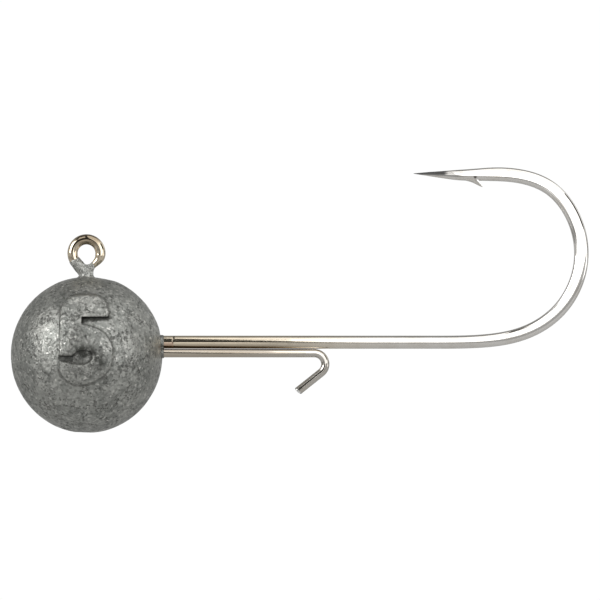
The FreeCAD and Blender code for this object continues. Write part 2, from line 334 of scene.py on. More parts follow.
# a fine turned mark round the shank, close to the ball
mark = 0.004 * np.exp(-((verts[:, 0] - 5.45 + 0.10 * (verts[:, 1] / SHANK_R) ** 2) / 0.035) ** 2)
on_shank = (verts[:, 0] > 5.0) & (verts[:, 0] < 5.9) & (verts[:, 2] < -4.5)
rad = np.hypot(verts[:, 1], verts[:, 2] - SHANK_Z) + 1e-9
f = np.where(on_shank, 1 - mark / rad, 1.0)
verts[:, 1] *= f
verts[:, 2] = SHANK_Z * (1 - f) + verts[:, 2] * f
s_tip = sv.max() - sv
height = np.cos(av)                       # 1 on the inner side of the bend, -1 outside
# painted dark reflection on the facets of the point
point_dark_reflection = 1 - smooth((s_tip - 1.85 + 1.5 * smooth((height - 0.10) / 0.45)) / 0.40)
point_wedge_dark = np.exp(-((height - 0.14) / 0.18) ** 2) * (1 - smooth((s_tip - 2.5) / 0.9))
point_dark_reflection = np.maximum(point_dark_reflection, point_wedge_dark)
# painted shade along the upper side of the turned groove, and at the root of the barb's cut
groove_shade = np.exp(-((verts[:, 0] - 5.45 + 0.10 * (verts[:, 1] / SHANK_R) ** 2) / 0.042) ** 2) * on_shank * smooth((verts[:, 2] - SHANK_Z + 0.12) / 0.1)
root = np.exp(-(((verts[:, 0] - 24.10) / 0.075) ** 2 + ((verts[:, 2] - 4.735) / 0.06) ** 2))
stain = smooth((5.42 - verts[:, 0]) / 0.08) * on_shank * smooth((SHANK_Z + 0.08 - verts[:, 2]) / 0.2)
stain = np.where((verts[:, 0] > 4.5) & (verts[:, 2] < -4.5) & (verts[:, 0] < 5.5), smooth((5.42 - verts[:, 0]) / 0.08) * smooth((SHANK_Z + 0.10 - verts[:, 2]) / 0.2), 0.0)
# brown tint under the shank and over the top of the eye: partly tarnish, partly a painted dark reflection of the
# keeper below the shank and of the dark surroundings above the eye
down = (SHANK_Z - verts[:, 2]) / SHANK_R
tarnish_and_dark_reflection = np.where((verts[:, 0] > 4.4) & (verts[:, 0] < 15.5) & (verts[:, 2] < -4.5),
                 smooth((down - 0.30) / 0.42) * (1 - smooth((verts[:, 0] - 10.5) / 4.5)), 0.0)
eye_r = np.hypot(verts[:, 0], verts[:, 2])
eye_a = np.degrees(np.arctan2(verts[:, 2], verts[:, 0]))
tarnish_and_dark_reflection = np.maximum(tarnish_and_dark_reflection, np.where(eye_r < 1.3, 0.85 * smooth((eye_a - 22.0) / 30.0) * (1 - smooth((eye_a - 112.0) / 40.0)), 0.0))
hook = new_object("hook_wire", verts, faces, {"tarnish_and_dark_reflection": tarnish_and_dark_reflection, "along": sv, "around": av, "point_dark_reflection": point_dark_reflection,
                                             "groove_shade": np.maximum(groove_shade, root), "stain": stain})

# barb: a sliver raised from the inner side of the arm, rounded outside, flat
# on the side of the cut
outer = np.array([(22.80, 4.585), (23.20, 4.555), (23.59, 4.487), (23.905, 4.395), (24.18, 4.262),
                  (24.38, 4.160), (24.50, 4.118), (24.577, 4.104)])
inside_line = np.array([(22.80, 4.80), (23.20, 4.82), (23.60, 4.83), (23.95, 4.80), (24.115, 4.724),
                        (24.33, 4.425), (24.49, 4.212), (24.572, 4.112)])
width = np.array([0.20, 0.245, 0.255, 0.245, 0.215, 0.160, 0.085, 0.010])
tq = np.linspace(0, 7, 50)
out_p = np.c_[np.interp(tq, range(8), outer[:, 0]), np.interp(tq, range(8), outer[:, 1])]
in_p = np.c_[np.interp(tq, range(8), inside_line[:, 0]), np.interp(tq, range(8), inside_line[:, 1])]
wd = np.interp(tq, range(8), width)
for arr in (out_p, in_p):
    for _ in range(3):
        arr[1:-1] = 0.25 * arr[:-2] + 0.5 * arr[1:-1] + 0.25 * arr[2:]
M = 17
bv = []
for i in range(50):
    for j in range(M):
        a = math.pi * j / (M - 1)
        y = -math.cos(a) * wd[i]
        g = math.sin(a) ** 0.8
        p = in_p[i] + (out_p[i] - in_p[i]) * g
        bv.append((p[0], y, p[1]))
bf = []
for i in range(49):
    for j in range(M - 1):
        a = i * M + j
        bf.append((a, a + 1, a + M + 1, a + M))
    bf.append((i * M + M - 1, i * M, i * M + M, i * M + 2 * M - 1))
bf.append(tuple(range(M)))
bf.append(tuple(reversed(range(49 * M, 50 * M))))
barb = new_object("barb_tool", np.array(bv), bf)
slit = [(24.085, 4.745), (24.10, 4.735), (24.40, 4.330), (24.46, 4.40)]
sv3 = [(x, y, z) for y in (-1.0, 1.0) for x, z in slit]
slit_o = new_object("slit_tool", np.array(sv3), [(0, 1, 2, 3), (7, 6, 5, 4), (0, 4, 5, 1), (1, 5, 6, 2),
                                                (2, 6, 7, 3), (3, 7, 4, 0)])
for o in (hook, barb, slit_o):
    o.data.transform(Matrix.Scale(1000.0, 4))
boolean(hook, slit_o, "DIFFERENCE")
boolean(hook, barb, "UNION")
hook.data.transform(Matrix.Scale(0.001, 4))
hook.name = "hook_wire"
# painted shade at the root of the barb's cut
vco = np.zeros(len(hook.data.vertices) * 3)
hook.data.vertices.foreach_get("co", vco)
vco = vco.reshape(-1, 3) / MM
v_groove_shade = np.zeros(len(vco), np.float32)
hook.data.attributes["groove_shade"].data.foreach_get("value", v_groove_shade)
cut_root_dot = 1 - smooth((np.hypot(vco[:, 0] - 24.10, vco[:, 2] - 4.72) - 0.05) / 0.07)
hook.data.attributes["groove_shade"].data.foreach_set("value", np.maximum(v_groove_shade, cut_root_dot * (vco[:, 1] < 0)).astype(np.float32))
shade(hook, 38.0)

# ---------------------------------------------------------------- keeper wire
foot_a = math.radians(90.0 + KEEP_FOOT_TURN)
fx, fz = KEEP_X0, KEEP_Z - KEEP_FOOT_R
ex, ez = fx + KEEP_FOOT_R * math.cos(foot_a), fz + KEEP_FOOT_R * math.sin(foot_a)
dx, dz = -math.sin(foot_a), math.cos(foot_a)
foot_leg = line((ex + dx * KEEP_FOOT_LEG, ez + dz * KEEP_FOOT_LEG), (ex, ez), 0.08)
foot = arc(fx, fz, KEEP_FOOT_R, 90.0 + KEEP_FOOT_TURN, 90.0, 0.06)[1:]
run = line((KEEP_X0, KEEP_Z), (KEEP_X1, KEEP_Z), 0.08)[1:]
bx, bz = KEEP_X1, KEEP_Z - KEEP_BEND_R
end = 90.0 - KEEP_TURN
kbend = arc(bx, bz, KEEP_BEND_R, 90.0, end, 0.035)[1:]
a = math.radians(end)
px, pz = bx + KEEP_BEND_R * math.cos(a), bz + KEEP_BEND_R * math.sin(a)
tx, tz = math.sin(a), -math.cos(a)
kleg = line((px, pz), (px + tx * (KEEP_LEG - 0.02), pz + tz * (KEEP_LEG - 0.02)), 0.035)[1:]
kpath = np.vstack([foot_leg, foot, run, kbend, kleg])
ks = np.r_[0, np.cumsum(np.linalg.norm(np.diff(kpath, axis=0), axis=1))]
k_end = ks[-1]


def keep_wobble(s, a):
    p = np.stack([s.ravel() / 3.0, np.cos(a.ravel()) * 0.3, np.sin(a.ravel()) * 0.3], -1)
    return (wire_noise(p + 9.0, 0.7) * 0.006 - 0.003).reshape(s.shape)


kv, kf, ksv, kav = tube(kpath, KEEP_R, KEEP_R, 2.0, 40, keep_wobble, cap0="flat", cap1="flat")
# sheared end: pinched, slanted and torn
tn = np.array([tx, tz])
nrm = np.array([-tz, tx])
rel = np.c_[kv[:, 0] - (px + tx * KEEP_LEG), kv[:, 2] - (pz + tz * KEEP_LEG)]
along_t, across = rel @ tn, rel @ nrm
near = smooth((along_t + 0.42) / 0.42) * (ksv > k_end - 1.2)
torn = wire_noise(np.c_[kv[:, 0] * 6, kv[:, 1] * 6, kv[:, 2] * 6], 0.9)
shift_t = near * (-0.10 * np.clip(across / KEEP_R, 0, 1) ** 2 + 0.035 * torn - 0.015)
squeeze = 1 - 0.10 * near * (0.4 + 0.6 * (kv[:, 1] > 0))
kv[:, 0] += tx * shift_t
kv[:, 2] += tz * shift_t
kv[:, 1] *= squeeze
sw = math.radians(KEEP_SWING)
kx, ky = kv[:, 0] - KEEP_X1, kv[:, 1].copy()
kv[:, 0] = KEEP_X1 + kx * math.cos(sw) - ky * math.sin(sw)
kv[:, 1] = kx * math.sin(sw) + ky * math.cos(sw)
# keeper: the brown on its top is partly tarnish, partly painted dark reflection; the dark line along its front side is
# a painted dark reflection under the highlight
up_k = (kv[:, 2] - KEEP_Z) / KEEP_R
keeper_tarnish_and_reflection = np.where(kv[:, 0] < 14.6, smooth((up_k - 0.62) / 0.25) * (1 - smooth((kv[:, 0] - 12.5) / 2.0)), 0.0)
keeper_reflection_line = 0.75 * np.exp(-((up_k - 0.12) / 0.20) ** 2) * smooth((kv[:, 0] - 6.5) / 2.5) * (kv[:, 1] < kx * math.sin(sw))
keeper_tarnish_and_reflection = np.maximum(keeper_tarnish_and_reflection, np.where(kv[:, 0] < 13.6, keeper_reflection_line, 0.0))
keeper = new_object("bait_keeper", kv, kf, {"tarnish_and_dark_reflection": np.where(kv[:, 2] > KEEP_Z, keeper_tarnish_and_reflection, 0.0), "along": ksv, "around": kav, "cut": smooth((near - 0.72) / 0.25)}, 40.0)

# ------------------------------------------------------------------ lead ball
# numeral outline, rounded everywhere but at its real corners
pts = [np.array(p) for p in NUMERAL]
for _ in range(3):
    nxt, sharp = [], set()
    for i, p in enumerate(pts):
        a, b = pts[i - 1], pts[(i + 1) % len(pts)]
        if i in NUMERAL_SHARP:
            sharp.add(len(nxt))
            nxt.append(p)
        else:
            nxt.append(p * 0.75 + a * 0.25)
            nxt.append(p * 0.75 + b * 0.25)
    pts, NUMERAL_SHARP = nxt, sharp
poly = np.array(pts)


def sdf(q):
    """Signed distance to the numeral (negative inside) and its direction."""
    best = np.full(len(q), 1e9)
    vec = np.zeros_like(q)
    odd = np.zeros(len(q), bool)
    for i in range(len(poly)):
        a, b = poly[i], poly[(i + 1) % len(poly)]
        e, w = b - a, q - a
        t = np.clip((w @ e) / (e @ e), 0, 1)[:, None]
        v = w - t * e
        d = np.hypot(v[:, 0], v[:, 1])
        m = d < best
        best[m], vec[m] = d[m], v[m]
        cond = (a[1] > q[:, 1]) != (b[1] > q[:, 1])
        xs = a[0] + (q[:, 1] - a[1]) / (b[1] - a[1] + 1e-15) * e[0]
        odd ^= cond & (q[:, 0] < xs)
    sign = np.where(odd, -1.0, 1.0)
    return best * sign, vec * sign[:, None] / (best[:, None] + 1e-12)


N = 216
g = np.linspace(-1, 1, N + 1)
ga, gb = np.meshgrid(g, g, indexing="ij")
ga, gb = ga.ravel(), gb.ravel()
with np.errstate(divide="ignore", invalid="ignore"):
    wide = np.abs(ga) > np.abs(gb)
    r = np.where(wide, ga, gb)
    phi = np.where(wide, math.pi / 4 * gb / np.where(ga == 0, 1, ga),
                   math.pi / 2 - math.pi / 4 * ga / np.where(gb == 0, 1, gb))
du, dv = r * np.cos(phi), r * np.sin(phi)
rho = np.hypot(du, dv)
azi = np.arctan2(dv, du)
edge = (np.isclose(np.abs(ga), 1) | np.isclose(np.abs(gb), 1))


def hemisphere(front):
    if front:
        t = 1.02 * rho + (math.pi / 2 - 1.02) * rho ** 3
    else:
        t = 2 * np.arcsin(np.clip(rho, 0, 1) / math.sqrt(2))
    t = np.where(edge, math.pi / 2, t)
    y = np.cos(t) * (-1 if front else 1)
    y = np.where(edge, 0.0, y)
    return np.c_[np.sin(t) * np.cos(azi), y, np.sin(t) * np.sin(azi)]


front, rear = hemisphere(True), hemisphere(False)
idx = np.arange((N + 1) ** 2).reshape(N + 1, N + 1)
rear_idx = np.full((N + 1) ** 2, -1)
rear_idx[edge] = np.arange((N + 1) ** 2)[edge]
free = ~edge
rear_idx[free] = (N + 1) ** 2 + np.arange(free.sum())
dirs = np.vstack([front, rear[free]])
rear_grid = rear_idx.reshape(N + 1, N + 1)
faces = []
for i in range(N):
    for j in range(N):
        faces.append((idx[i, j], idx[i + 1, j], idx[i + 1, j + 1], idx[i, j + 1]))
        faces.append((rear_grid[i, j], rear_grid[i, j + 1], rear_grid[i + 1, j + 1], rear_grid[i + 1, j]))

A, C = BALL_A - 0.012, BALL_C - 0.012
pos = dirs * np.array([A, A, C])
is_front = np.arange(len(pos)) < (N + 1) ** 2
near5 = is_front & (np.abs(pos[:, 0]) < 2.2) & (pos[:, 2] > -2.3) & (pos[:, 2] < 4.2) & (pos[:, 1] < 0)
q = pos[near5][:, [0, 2]]
DRAFT = 0.085
for _ in range(2):
    dist, direc = sdf(q)
    for level in (0.0, DRAFT):
        m = np.abs(dist - level) < 0.026
        q[m] -= direc[m] * (dist[m] - level)[:, None]
dist, direc = sdf(q)
pos[near5, 0], pos[near5, 2] = q[:, 0], q[:, 1]
pos[near5, 1] = -A * np.sqrt(np.clip(1 - (q[:, 0] / A) ** 2 - (q[:, 1] / C) ** 2, 0.01, 1))
dist_all = np.full(len(pos), 9.0)
dist_all[near5] = dist
unit = pos / np.array([A, A, C]) ** 2
unit /= np.linalg.norm(unit, axis=1, keepdims=True)

n1, n2, n3, n4 = Noise(11), Noise(12), Noise(13), Noise(14)
# the casting's own unevenness, always inwards of the nominal surface
lump = 0.012 * n1(pos, 2.6) + 0.011 * n2(pos, 0.85) + 0.0060 * n3(pos, 0.33) + 0.0035 * n4(pos, 0.16)
lump = np.clip(lump - 0.004, -0.07, 0.014)
lump += 0.100 * smooth((dirs @ np.array([0.60, 0.0, 0.80]) - 0.30) / 0.75) * smooth((1.0 - dirs[:, 2]) / 0.10) * smooth((1.0 - dirs[:, 0]) / 0.07)
# pits
pit = np.zeros(len(pos))
depth = np.zeros(len(pos))
pn = 520
pd = rng.normal(size=(pn, 3))
pd /= np.linalg.norm(pd, axis=1, keepdims=True)
pr = 0.035 + 0.075 * rng.random(pn) ** 2.5
for c, rr in zip(pd * np.array([A, A, C]), pr):
    d = np.linalg.norm(pos - c, axis=1)
    m = d < rr * 1.6
    k = np.exp(-(d[m] / rr) ** 2 * 1.8)
    depth[m] = np.maximum(depth[m], k * rr * 0.42)
    pit[m] = np.maximum(pit[m], k)
# a cold crease that runs down across the numeral, and a shorter one beside it
def groove(a, b, width, deep, bend=0.0):
    a, b = np.array(a), np.array(b)
    e = b - a
    w = pos[:, [0, 2]] - a
    t = np.clip((w @ e) / (e @ e), 0, 1)
    nv = np.array([-e[1], e[0]]) / np.linalg.norm(e)
    off = w - t[:, None] * e - nv * (bend * np.sin(t * math.pi) + 0.05 * n2(pos + 5, 0.4))[:, None]
    d = np.hypot(off[:, 0], off[:, 1])
    fade = np.sin(np.clip(t, 0.02, 0.98) * math.pi) ** 0.5
    return np.where(pos[:, 1] < 0, deep * fade * np.exp(-(d / width) ** 2), 0.0)


crease = groove((-0.33, 1.85), (0.30, 0.75), 0.07, 0.050, 0.04) + groove((0.15, 0.95), (1.20, -0.85), 0.10, 0.030, -0.08)
crease += groove((0.72, 1.2), (0.52, 0.4), 0.06, 0.022, 0.0) + groove((-2.9, -0.75), (-1.9, -1.6), 0.09, 0.030, 0.05)
depth = depth + crease

rise = np.zeros(len(pos))
y_face = NUM_FACE_Y - np.sqrt(np.clip(NUM_FACE_R ** 2 - pos[:, 0] ** 2 - pos[:, 2] ** 2, 0.1, None))
t = 1 - np.clip(dist_all / DRAFT, 0, 1)
t = np.where(t > 0, t + 0.10 * np.sin(2 * math.pi * t) * -0.4, 0)
rise = (y_face + 0.015 - pos[:, 1]) * t
# slightly rounded shoulder just inside the edge, and a slight sink inside
shoulder = np.exp(-(np.clip(-dist_all, 0, 9) / 0.045) ** 2) * (dist_all <= 0)
disp = lump - depth
# parting line of the mould
seam = np.exp(-(pos[:, 1] / 0.07) ** 2)
seam_h = 0.020 * (0.55 + 0.45 * n2(pos * 1.0 + 3, 0.9)) * seam
disp = disp * (1 - 0.6 * seam) + seam_h
# gate mark underneath: a cut, slightly rough flat
gx, gy = pos[:, 0] + 0.25, pos[:, 1]
gate = (pos[:, 2] < -4.0) * smooth((0.72 - np.hypot(gx, gy * 1.3)) / 0.14)
gate_rough = 0.018 * n3(np.c_[pos[:, 0] * 0.5, pos[:, 1] * 3, pos[:, 2]], 0.3)
flat_z = -C + 0.020
vis = pos + unit * disp[:, None]
vis[:, 1] += rise + 0.022 * shoulder * (rise != 0)
vis[:, 2] = vis[:, 2] * (1 - gate) + gate * (np.maximum(vis[:, 2], -C + 0.045) + gate_rough)
vis += np.array([BALL_X, 0, BALL_Z])
vis[:, 0] = np.clip(vis[:, 0], cad_lo[0] / MM + 0.002, 9.0)
vis[:, 1] = np.clip(vis[:, 1], cad_lo[1] / MM + 0.002, cad_hi[1] / MM - 0.002)
vis[:, 2] = np.clip(vis[:, 2], cad_lo[2] / MM + 0.002, 9.0)
# lighter fringe along the numeral's edge: partly rubbed bare lead, partly a painted edge highlight
rubbed_and_lit_edge = np.exp(-((dist_all + 0.02) / 0.05) ** 2)
dir_all = np.zeros((len(pos), 2))
dir_all[near5] = direc
qx, qz = pos[:, 0], pos[:, 2]
ragged = 0.06 * n3(pos + 2, 0.35) + 0.03 * n4(pos, 0.15)
under = ((dist_all > -0.01) & (qz < 2.45) & (qz > 1.6) & (qx > -0.35) & (qx < 1.62))
reach = 0.27 + 0.16 * smooth((0.35 - qx) / 0.5) + ragged
shadow = np.where(under, 1 - smooth((2.38 - qz - reach + 0.07) / 0.14), 0.0) * smooth((1.52 + ragged - qx) / 0.1)
below = (dist_all > -0.02) & (qx < -0.70) & (qx > -1.62) & (qz < 0.06) & (qz > -0.55)
shadow = np.maximum(shadow, np.where(below, 0.85 * (1 - smooth((0.0 - qz - 0.30 - ragged) / 0.14)), 0.0))
# painted shade: a dark patch round the ball's centre, which faces the dark camera side (painted dark reflection), a
# second on the bowl's right edge, and a faint darkening of the lower numeral
shade_patch = 0.80 * np.exp(-(((qx + 0.10) / 0.85) ** 2 + ((qz - 0.12) / 0.62) ** 2) ** 1.4)
shade_patch = np.maximum(shade_patch, 0.62 * np.exp(-((qx - 0.95) / 0.38) ** 2 - ((qz + 0.40) / 0.75) ** 2))
shade_patch = np.maximum(shade_patch, 0.27 * np.exp(-(((qx - 0.1) / 1.40) ** 2 + ((qz + 0.70) / 1.0) ** 2) ** 2) * (dist_all < 0.05))
shade_patch = shade_patch * (pos[:, 1] < 0)
shadow = shadow * (pos[:, 1] < 0)
top_lit = (pos[:, 1] < 0) * (dist_all < 0.10) * np.exp(-((qz - 3.42) / 0.20) ** 2) * smooth((1.2 - np.abs(qx)) / 0.4)
ball = new_object("lead_ball", vis, faces, {
    "pit": np.clip(pit + crease * 16, 0, 1), "rubbed_and_lit_edge": rubbed_and_lit_edge, "gate": gate, "shadow": np.clip(shadow, 0, 1),
    "shade_patch": shade_patch, "glint": np.clip(top_lit, 0, 1),
    # foot: painted shade in a thin line along the base of the numeral
    "foot": np.exp(-((dist_all - DRAFT - 0.03) / 0.07) ** 2)}, 60.0)


# ----------------------------------------- lead on the neck, fillet at wires
def lathe_like(name, path2, hn2, hy2, pw2, segs, c0, c1):
    v, f_, s_, a_ = tube(path2, hn2, hy2, pw2, segs, None, c0, c1)
    return new_object(name, v, f_)


film_path = np.vstack([arc(0, 0, EYE_R, 203.0, LEAN_DEG, 0.05), line(p0, p1, 0.05)[1:],
                       arc(p2[0] - NECK_BLEND_R, p2[1], NECK_BLEND_R, lean, 0.0, 0.05)[1:],
                       line(p2, (0, -2.2), 0.08)[1:]])
fs = np.r_[0, np.cumsum(np.linalg.norm(np.diff(film_path, axis=0), axis=1))]
film_r = EYE_WIRE_R + np.interp(fs, [0, 0.08, 0.18, 0.6, 1.0, 3.0], [-0.03, 0.012, 0.026, 0.040, 0.045, 0.05])
film = lathe_like("film_a", film_path, film_r, film_r, 2.0, 40, "flat", "flat")
neck_path = line((-0.02, -0.98), (-0.02, -2.1), 0.06)
nz = -neck_path[:, 1]
collar_n = np.interp(nz, [0.98, 1.12, 1.25, 1.34, 1.42, 1.50, 1.60, 1.8, 2.1],
                     [0.30, 0.42, 0.435, 0.445, 0.475, 0.56, 0.72, 0.95, 0.95])
collar_y = np.interp(nz, [0.98, 1.12, 1.25, 1.34, 1.42, 1.50, 1.60, 1.8, 2.1],
                     [0.22, 0.355, 0.385, 0.405, 0.44, 0.53, 0.70, 0.95, 0.95])
collar = lathe_like("film_b", neck_path, collar_n, collar_y, 2.2, 48, "round", "flat")
fill = [(-0.42, -0.56), (-0.27, -0.600), (-0.09, -0.672), (0.06, -0.700), (0.22, -0.650), (0.36, -0.570),
        (0.50, -0.80), (0.43, -1.05), (0.40, -1.50), (-0.42, -1.50), (-0.58, -0.98)]
fill_v = [(x, y, z) for y in (-0.255, 0.255) for x, z in fill]
L = len(fill)
fill_f = [tuple(range(L)), tuple(reversed(range(L, 2 * L)))] + [(i, L + i, L + (i + 1) % L, (i + 1) % L) for i in range(L)]
fill_o = new_object("film_c", np.array(fill_v), fill_f)
tail_film = line((0.43, -0.70), (0.18, -1.02), 0.05)
tf = lathe_like("film_d", tail_film, np.interp(np.linspace(0, 1, len(tail_film)), [0, 1], [0.19, 0.25]),
                np.interp(np.linspace(0, 1, len(tail_film)), [0, 1], [0.20, 0.26]), 2.0, 32, "round", "round")
# the fillet where both wires leave the ball
bx0 = 4.20
boss_path = line((bx0, SHANK_Z), (4.76, SHANK_Z), 0.05)
boss_s = np.linspace(0, 1, len(boss_path))
boss = lathe_like("boss_a", boss_path, SHANK_R + 0.065 - 0.03 * boss_s, SHANK_R + 0.09 - 0.04 * boss_s, 2.0, 48, "flat", "flat")
boss_path2 = line((bx0, KEEP_Z), (4.78, KEEP_Z), 0.05)
boss_y = (4.5 - KEEP_X1) * math.sin(math.radians(KEEP_SWING))
boss2 = lathe_like("boss_b", boss_path2, KEEP_R + 0.055, KEEP_R + 0.10, 2.0, 40, "flat", "flat")
boss2.data.transform(Matrix.Translation((0, boss_y * MM, 0)))


def join(objs, name, voxel, iters, seed, amp):
    bm = bmesh.new()
    for o in objs:
        bm.from_mesh(o.data)
        bpy.data.objects.remove(o)
    mesh = bpy.data.meshes.new(name)
    bm.to_mesh(mesh)
    bm.free()
    obj = bpy.data.objects.new(name, mesh)
    bpy.context.scene.collection.objects.link(obj)
    m = obj.modifiers.new("r", "REMESH")
    m.mode = "VOXEL"
    m.voxel_size = voxel * MM
    m.adaptivity = 0.0
    sm = obj.modifiers.new("s", "SMOOTH")
    sm.factor = 0.5
    sm.iterations = iters
    apply_modifiers(obj)
    co = np.zeros(len(obj.data.vertices) * 3)
    obj.data.vertices.foreach_get("co", co)
    co = co.reshape(-1, 3) / MM
    nv = np.zeros(len(obj.data.vertices) * 3)
    obj.data.vertices.foreach_get("normal", nv)
    nv = nv.reshape(-1, 3)
    nz_ = Noise(seed)
    co = co + nv * (amp * (nz_(co, 0.22) + 0.6 * nz_(co + 7, 0.09)))[:, None]
    obj.data.vertices.foreach_set("co", (co * MM).ravel())
    obj.data.update()
    shade(obj, 70.0)
    return obj


film = join([film, collar, fill_o, tf], "lead_film", 0.026, 3, 31, 0.010)
fillet = join([boss, boss2], "lead_fillet", 0.030, 3, 32, 0.012)
for o in (film, fillet):
    for key in ("pit", "rubbed_and_lit_edge", "gate", "foot", "shadow", "shade_patch", "glint"):
        o.data.attributes.new(key, "FLOAT", "POINT")
    o.data.attributes["gate"].data.foreach_set("value", np.full(len(o.data.vertices), 0.35 if o is film else 0.0, np.float32))
    # the fillet between the wires gets an even painted shade
    o.data.attributes["shade_patch"].data.foreach_set("value", np.full(len(o.data.vertices), 0.0 if o is film else 0.30, np.float32))


# ------------------------------------------------------------------ materials
def nodes_of(name):
    m = bpy.data.materials.new(name)
    m.use_nodes = True
    nt = m.node_tree
    nt.nodes.clear()
    return m, nt


class G:
    """Small helper to write node graphs."""

    def __init__(self, nt):
        self.nt = nt

    def node(self, kind, **kw):
        n = self.nt.nodes.new(kind)
        for k_, v_ in kw.items():
            setattr(n, k_, v_)
        return n

    def put(self, sock, v):
        if isinstance(v, bpy.types.NodeSocket):
            self.nt.links.new(v, sock)
        elif v is not None:
            sock.default_value = v

    def math(self, op, a, b=None, c=None, clamp=False):
        n = self.node("ShaderNodeMath", operation=op, use_clamp=clamp)
        for i, v in enumerate((a, b, c)):
            self.put(n.inputs[i], v)
        return n.outputs[0]

    def coords(self):
        return self.node("ShaderNodeTexCoord").outputs["Object"]

    def noise(self, vec, scale, detail=3.0, rough=0.55, lac=2.0, dist=0.0):
        n = self.node("ShaderNodeTexNoise")
        self.put(n.inputs["Vector"], vec)
        n.inputs["Scale"].default_value = scale
        n.inputs["Detail"].default_value = detail
        n.inputs["Roughness"].default_value = rough
        n.inputs["Lacunarity"].default_value = lac
        n.inputs["Distortion"].default_value = dist
        return n.outputs["Fac"]

    def voronoi(self, vec, scale, rand=1.0, feature="F1"):
        n = self.node("ShaderNodeTexVoronoi", feature=feature)
        self.put(n.inputs["Vector"], vec)
        n.inputs["Scale"].default_value = scale
        n.inputs["Randomness"].default_value = rand
        return n.outputs["Distance"]

    def ramp(self, fac, lo, hi, a=0.0, b=1.0):
        n = self.node("ShaderNodeMapRange", interpolation_type="SMOOTHSTEP")
        self.put(n.inputs["Value"], fac)
        for key, v in (("From Min", lo), ("From Max", hi), ("To Min", a), ("To Max", b)):
            n.inputs[key].default_value = v
        return n.outputs["Result"]

    def mix(self, fac, a, b, blend="MIX"):
        n = self.node("ShaderNodeMix", data_type="RGBA", blend_type=blend)
        self.put(n.inputs[0], fac)
        for i, v in ((6, a), (7, b)):
            if isinstance(v, tuple):
                v = (*v, 1.0)
            self.put(n.inputs[i], v)
        return n.outputs[2]

    def attr(self, name):
        return self.node("ShaderNodeAttribute", attribute_name=name).outputs["Fac"]

    def stretch(self, vec, scale):
        n = self.node("ShaderNodeMapping")
        self.put(n.inputs["Vector"], vec)
        n.inputs["Scale"].default_value = scale
        return n.outputs["Vector"]

    def bump(self, height, strength, distance, normal=None):
        n = self.node("ShaderNodeBump")
        n.inputs["Strength"].default_value = strength
        n.inputs["Distance"].default_value = distance
        self.put(n.inputs["Height"], height)
        if normal is not None:
            self.put(n.inputs["Normal"], normal)
        return n.outputs["Normal"]


